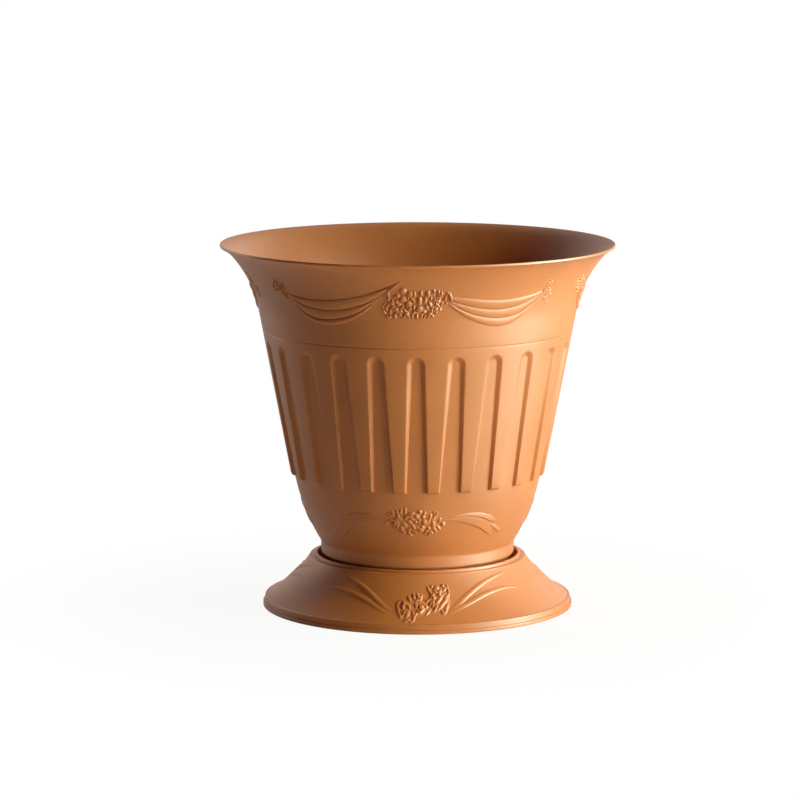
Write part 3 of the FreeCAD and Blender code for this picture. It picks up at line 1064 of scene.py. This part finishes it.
stamp(ribbons, "pot_ribbons", "pot")

posy = Relief(bowl_track, (-18.0, 16.0), (86.0, 122.0))
posy.mound(-0.6, 104.4, 24.0, 12.5, 0.9)
posy.beads((
    (1.6, 116.4, 1.9), (3.2, 111, 2), (3.8, 105.5, 3.1), (-3.7, 97.1, 2.1), (-3.7, 92.6, 1.7),
    (2.2, 97.4, 3.3), (-0.6, 95.5, 2.1), (13, 103, 2.5), (7.7, 93.7, 1.7), (-0.3, 105.5, 1.8),
    (-1.1, 99.4, 2), (6, 99, 2), (-2.7, 91, 1.5), (5, 96, 1.7), (-12.4, 111.2, 1.5),
    (-13.9, 113.2, 1.2), (-13.8, 109.7, 1.2), (-12.9, 113.6, 1.1), (-12.8, 107.3, 1.3),
    (-11.4, 106.9, 1.2)))
posy.petals((
    (-11.2, 113.8, 3, 1.3, 95), (-8.9, 114.2, 3.8, 1.8, 100), (-7.3, 116.2, 3, 1.4, 80),
    (-5.3, 116.9, 3.3, 1.4, 90), (-8.2, 109.1, 3, 1.7, 160), (-10.5, 103.7, 3.5, 1.5, 65),
    (-9.2, 101.3, 3.7, 1.6, 75), (-7.2, 98.1, 3.6, 1.8, 110), (-5.8, 103.1, 3, 1.8, 120),
    (-3.1, 105.4, 3, 1.4, 130), (-1.8, 101.9, 3, 1.5, 105), (1.4, 106.6, 4, 1.4, 88),
    (0.7, 98.3, 2.8, 1.4, 115), (3.2, 100.5, 2.6, 1.2, 130), (8.2, 102.5, 4.2, 1.6, 92),
    (9.3, 96.4, 3, 1.4, 120), (11.1, 98.7, 3, 1.3, 125), (6.6, 92.9, 2.8, 1.3, 70),
    (4.3, 93.8, 2.2, 1.1, 100), (8.5, 110.5, 4.8, 1.1, 62), (6.5, 110.9, 4, 1.1, 82),
    (9.6, 114, 2.5, 1, 60), (8.4, 115.4, 2, 0.9, 70), (0.4, 93.8, 2.2, 1.2, 40),
    (-6.3, 93.6, 2.2, 1.3, 120), (-4.7, 110.9, 3.5, 1.8, 45), (3.8, 114.8, 2.2, 1, 60),
    (-1.6, 96, 2, 1.2, 150), (-14.5, 104.1, 2, 1.1, 60), (-9.5, 107.9, 2.2, 1.3, 110),
    (-2.9, 98.2, 1.8, 1, 90), (-2.6, 113.8, 3.4, 2.2, 30), (0.2, 111.6, 3, 2, 120),
    (-2, 109.2, 3.2, 1.8, 160), (5.6, 106.2, 3, 1.8, 50), (11.2, 106.8, 2.8, 1.6, 70)),
    relief=0.72, grown=1.16)
stamp(posy, "pot_posy", "pot")


# Spray with streamers on the saucer's skirt
skirt_track = Track(skirt.points(track_steps)[::-1])
streamer_width = tapered(6.0, 0.1, 0.5, least=1.2)
streamer_rise = tapered(1.25, 0.55, 0.4, power=0.9)
streamers = Drapery(skirt_track)
for path in (
        [(13, 17.4), (18.6, 25), (24.4, 31.9), (29.7, 36.7), (37.3, 41.7), (46.2, 45.1), (52.2, 46.4)],
        [(12.4, 16.6), (19.5, 22.2), (25.3, 26.3), (31.7, 30), (39.4, 32.6), (46.6, 33.3), (51.4, 32.1),
         (54, 29.4)],
        [(-9, 18), (-13.2, 22.3), (-17.8, 28.2), (-22.1, 33.6), (-27.7, 39.1), (-34.7, 44), (-40, 46)],
        [(-10, 16.4), (-14.6, 19.9), (-18.6, 23.7), (-24.1, 28), (-29.9, 31.1), (-35.1, 33.1),
         (-40.4, 33.7), (-47, 33.2)]):
    streamers.ridge(path, streamer_width, streamer_rise)
stamp(streamers, "saucer_streamers", "saucer")

spray = Relief(skirt_track, (-11.5, 19.0), (10.0, 43.5))
spray.mound(-1.6, 21.6, 15.0, 11.0, 1.0)
spray.mound(10.2, 28.0, 11.0, 13.0, 1.0)
spray.petals((
    (-7.7, 26, 4.6, 1.6, 65), (-7.6, 20.5, 5.9, 1.7, 105), (-6.4, 15.8, 4, 1.5, 110),
    (-5.7, 27.2, 4, 1.7, 145), (-4.4, 25, 3.3, 1.7, 130), (-5.6, 22.8, 3.7, 1.7, 100),
    (-5, 17.2, 5.3, 1.7, 62), (-3.5, 17, 4.6, 2.2, 75), (-3.1, 22.9, 3.7, 1.6, 110),
    (-3.1, 29.5, 4, 1.5, 110), (-1.1, 31.8, 3.7, 1.6, 100), (2, 30.7, 4, 1.6, 75),
    (0.6, 32.9, 2.6, 1.5, 90), (0.5, 28.4, 2.9, 1.5, 20), (0, 23.7, 3.7, 1.7, 95),
    (1.8, 26.2, 2.9, 1.6, 30), (3.2, 24.5, 3.3, 1.7, 120), (2.5, 20.2, 3.7, 1.7, 60),
    (1, 18.6, 2.9, 1.5, 120), (-3, 12.6, 2.9, 1.3, 30), (-1, 13.4, 4, 1.5, 80),
    (-0.1, 16.8, 2.9, 1.3, 60), (-1.3, 17, 3.3, 1.3, 100), (-4.1, 11.8, 2, 0.9, 100),
    (-1.9, 11.4, 2, 0.9, 80), (4.9, 18.8, 5.3, 1.3, 58), (6.1, 36.3, 5.3, 1.5, 110),
    (7.3, 31.7, 4, 1.5, 60), (9.8, 27.6, 8.9, 1.6, 54), (11.4, 24.7, 9.9, 1.7, 52),
    (8.3, 21.7, 5.3, 1.5, 60), (7.2, 25, 4.6, 1.3, 80), (12.4, 20.3, 6.6, 1.6, 66),
    (10.7, 18.3, 3.3, 1.3, 100), (10.2, 22.6, 2.6, 1.2, 100), (14.9, 39.2, 3.3, 1.3, 95),
    (13.5, 37.6, 3.3, 1.5, 60), (11, 35.4, 4, 1.5, 60), (9, 34.4, 3.3, 1.5, 120),
    (15, 33.4, 3, 1.2, 75), (5, 27.8, 3.3, 1.6, 50), (6.1, 25, 3.3, 1.5, 65),
    (8.7, 39, 2.6, 1.5, 80), (13.7, 30.7, 4, 1.3, 40)), relief=0.62, grown=1.1)
spray.beads((
    (1.8, 18.6, 1.8), (9.7, 39, 2.6), (-5.2, 25, 2.2), (2, 22.4, 3), (0.9, 31.2, 2),
    (7.4, 40, 1.7), (12.7, 40.5, 1.7), (10.5, 32.6, 2), (7.8, 29.9, 1.8), (4.3, 22.9, 2),
    (15.1, 35.7, 1.6)))
stamp(spray, "saucer_spray", "saucer")


# Floor, in metres
floor_half = 25.0
floor_colour = (0.9, 0.82, 0.72, 1.0)
floor_lit_share = 0.07      # share of real light at the object, which lets its shadow show
shadow_reach = (0.18, 0.5)  # distances from the axis between which that share fades out
floor_mirror_share = 0.6    # brightness of the floor in reflections


def white_stage(name):
    """White for the camera, greyer in reflections, with a share of real light so that shadows show."""
    material = bpy.data.materials.new(name)
    nodes = Nodes(material)
    nodes.tree.nodes.clear()
    lit = nodes.add("BsdfDiffuse", "BSDF", {"Color": floor_colour})
    mirror = nodes.add("MapRange", "Result", {
        "Value": nodes.any_ray("Glossy"), "To Min": 1.0, "To Max": floor_mirror_share})
    glow = nodes.add("Emission", "Emission", {"Strength": mirror})
    reach = nodes.add("VectorMath", "Value", {0: nodes.add("TexCoord", "Object", {})}, operation="LENGTH")
    white = nodes.add("MapRange", "Result", {
        "Value": reach, "From Min": shadow_reach[0], "From Max": shadow_reach[1],
        "To Min": 1.0 - floor_lit_share}, interpolation_type="SMOOTHSTEP")
    seen = nodes.add("MixShader", "Shader", {"Fac": white, 1: lit, 2: glow})
    shown = nodes.any_ray("Camera", "Glossy")
    nodes.join(nodes.tree.nodes.new("ShaderNodeOutputMaterial"), {
        "Surface": nodes.add("MixShader", "Shader", {"Fac": shown, 1: lit, 2: seen})})
    return material


floor_corners = [(-1, -1), (1, -1), (1, 1), (-1, 1)]
floor_data = bpy.data.meshes.new("stage_floor")
floor_data.from_pydata([(x * floor_half, y * floor_half, 0.0) for x, y in floor_corners], [], [(0, 1, 2, 3)])
floor = placed("stage_floor", floor_data)
floor_data.materials.append(white_stage("stage_white"))


# Light
lamp_distance = 1.6
back_distance = 1.8
key_tint = (0.93, 1.0, 0.92)
room_tint = (0.94, 1.0, 0.9)


def area_light(name, azimuth, elevation, size, power, colour, distance=lamp_distance):
    """A soft lamp aimed at the middle of the object, from an azimuth and elevation in degrees."""
    lamp = bpy.data.lights.new(name, "AREA")
    lamp.shape = "RECTANGLE"
    lamp.size, lamp.size_y = size
    lamp.energy = power
    lamp.color = colour
    made = placed(name, lamp)
    turn, rise = radians(azimuth), radians(elevation)
    middle = pot_height / 2.0 * MM
    made.location = (distance * cos(rise) * sin(turn), -distance * cos(rise) * cos(turn),
                     middle + distance * sin(rise))
    made.rotation_euler = (pi / 2.0 - rise, 0.0, turn)
    return made


# Sheen lamps add to the reflections alone, and the side and back left lamps to the diffuse light alone
area_light("key_low", 57.0, 2.0, (0.6, 0.45), 17.2, key_tint)
area_light("sheen_right", 80.0, 4.0, (0.45, 0.6), 88.0, (0.66, 1.0, 0.86)).visible_diffuse = False
area_light("sheen_left", -120.0, 5.0, (0.45, 0.6), 6.0, (1.0, 0.82, 0.66)).visible_diffuse = False
area_light("key_high", 68.0, 27.0, (0.45, 0.5), 14.5, key_tint)
area_light("side", 104.0, 30.0, (0.6, 0.6), 8.0, room_tint).visible_glossy = False
area_light("back_left", -160.0, 14.0, (0.6, 0.7), 9.0, (1.0, 0.95, 0.88)).visible_glossy = False
area_light("back", 150.0, 25.0, (0.9, 1.1), 5.0, room_tint, back_distance)

# Reflections show the white studio wall behind the object, and the dark room in front of it
ambient_colour = (1.0, 0.5, 0.3, 1.0)
ambient_strength = 0.035
wall_colour = (1.0, 1.0, 1.0, 1.0)
wall_start = 0.7            # how far back a direction points where the wall is fully white
world = bpy.data.worlds.new("studio")
bpy.context.scene.world = world
studio = Nodes(world)
ambient = studio.tree.nodes["Background"]
studio.join(ambient, {"Color": ambient_colour, "Strength": ambient_strength})
direction = studio.add("TexCoord", "Generated", {})
behind = studio.add("MapRange", "Result", {
    "Value": studio.add("SeparateXYZ", "Y", {"Vector": direction}), "From Max": wall_start},
    interpolation_type="SMOOTHSTEP")
reflected = studio.add(
    "Math", "Value", {0: studio.any_ray("Glossy"), 1: behind}, operation="MULTIPLY")
studio.join(studio.tree.nodes["World Output"], {"Surface": studio.add("MixShader", "Shader", {
    "Fac": studio.add("Math", "Value", {0: studio.any_ray("Camera"), 1: reflected}, operation="MAXIMUM"),
    1: ambient.outputs["Background"], 2: studio.add("Background", "Background", {"Color": wall_colour})})})

# Camera, in metres
camera_azimuth = radians(0.5)
camera_distance = 3.825
camera_height = 0.7982
camera_pitch = radians(8.744)
camera_swing = radians(0.267)
camera_lens = 171.0
camera_sensor = 36.0
camera_far = 50.0
camera = placed("camera", bpy.data.cameras.new("camera"))
camera.data.lens = camera_lens
camera.data.sensor_width = camera_sensor
camera.data.clip_end = camera_far
camera.location = (camera_distance * sin(camera_azimuth), -camera_distance * cos(camera_azimuth),
                   camera_height)
camera.rotation_euler = (pi / 2.0 - camera_pitch, 0.0, camera_azimuth + camera_swing)
bpy.context.scene.camera = camera
bpy.context.scene.view_settings.view_transform = "Standard"
